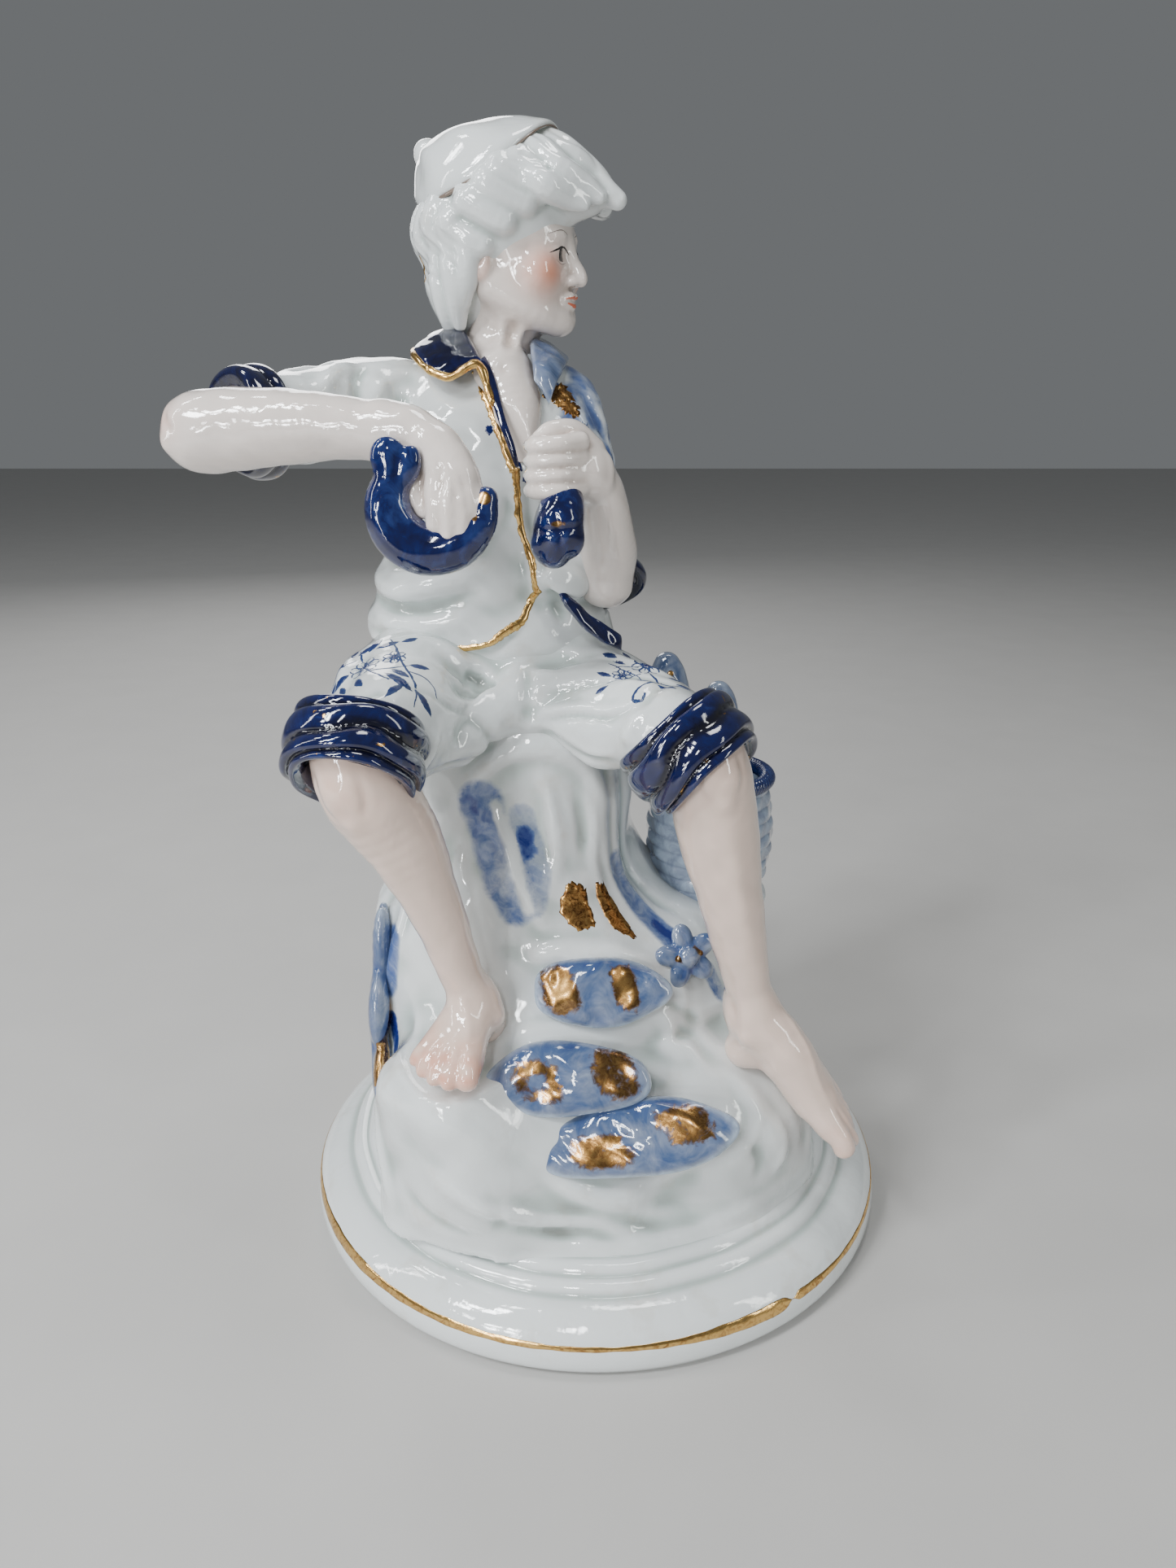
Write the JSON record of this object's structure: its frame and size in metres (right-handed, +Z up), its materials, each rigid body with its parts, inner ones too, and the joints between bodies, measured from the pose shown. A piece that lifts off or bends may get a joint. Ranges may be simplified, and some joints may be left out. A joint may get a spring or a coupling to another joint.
{
  "type": "porcelain figurine of a seated fisher boy",
  "caption": "Glazed porcelain figurine: a barefoot boy in a cap sits on a rock above a round stepped plinth, a fish in each hand and a fish basket at the hip.",
  "frame": {"origin": "centre of the plinth's underside, in the plane it stands on", "axes": "+Z up; -Y the figurine's front, the side its knees point to; +X the seated figure's left-hand side"},
  "size_m": [0.1512, 0.141, 0.2416],
  "materials": {
    "white_glaze": "clear high-gloss glaze over white porcelain, with gilt lines",
    "flesh_glaze": "high-gloss glaze over pale flesh-tinted porcelain",
    "cobalt_glaze": "high-gloss underglaze cobalt blue with gilt touches",
    "blue_wash_glaze": "high-gloss glaze over a thin cobalt wash with gilt brush marks"
  },
  "bodies": {
    "root": {"plinth": "white_glaze", "rock": "white_glaze", "upper_stone": "blue_wash_glaze", "middle_stone": "blue_wash_glaze", "lower_stone": "blue_wash_glaze", "rock_leaves": "blue_wash_glaze", "rock_flower": "blue_wash_glaze", "breeches": "white_glaze", "right_breeches_cuff": "cobalt_glaze", "left_breeches_cuff": "cobalt_glaze", "right_lower_leg": "flesh_glaze", "left_lower_leg": "flesh_glaze", "shirt_body": "white_glaze", "shirt_tail": "cobalt_glaze", "right_collar": "cobalt_glaze", "left_collar": "blue_wash_glaze", "right_sleeve": "white_glaze", "left_sleeve": "blue_wash_glaze", "right_sleeve_cuff": "cobalt_glaze", "left_sleeve_cuff": "cobalt_glaze", "right_forearm": "flesh_glaze", "left_forearm": "flesh_glaze", "head_and_neck": "flesh_glaze", "hair": "white_glaze", "cap": "white_glaze", "cap_knot": "white_glaze", "right_hand_fish": "cobalt_glaze", "left_hand_fish": "cobalt_glaze", "basket_body": "blue_wash_glaze", "basket_rim": "blue_wash_glaze", "basket_fish_front": "blue_wash_glaze", "basket_fish_rear": "blue_wash_glaze"}
  },
  "joints": []
}
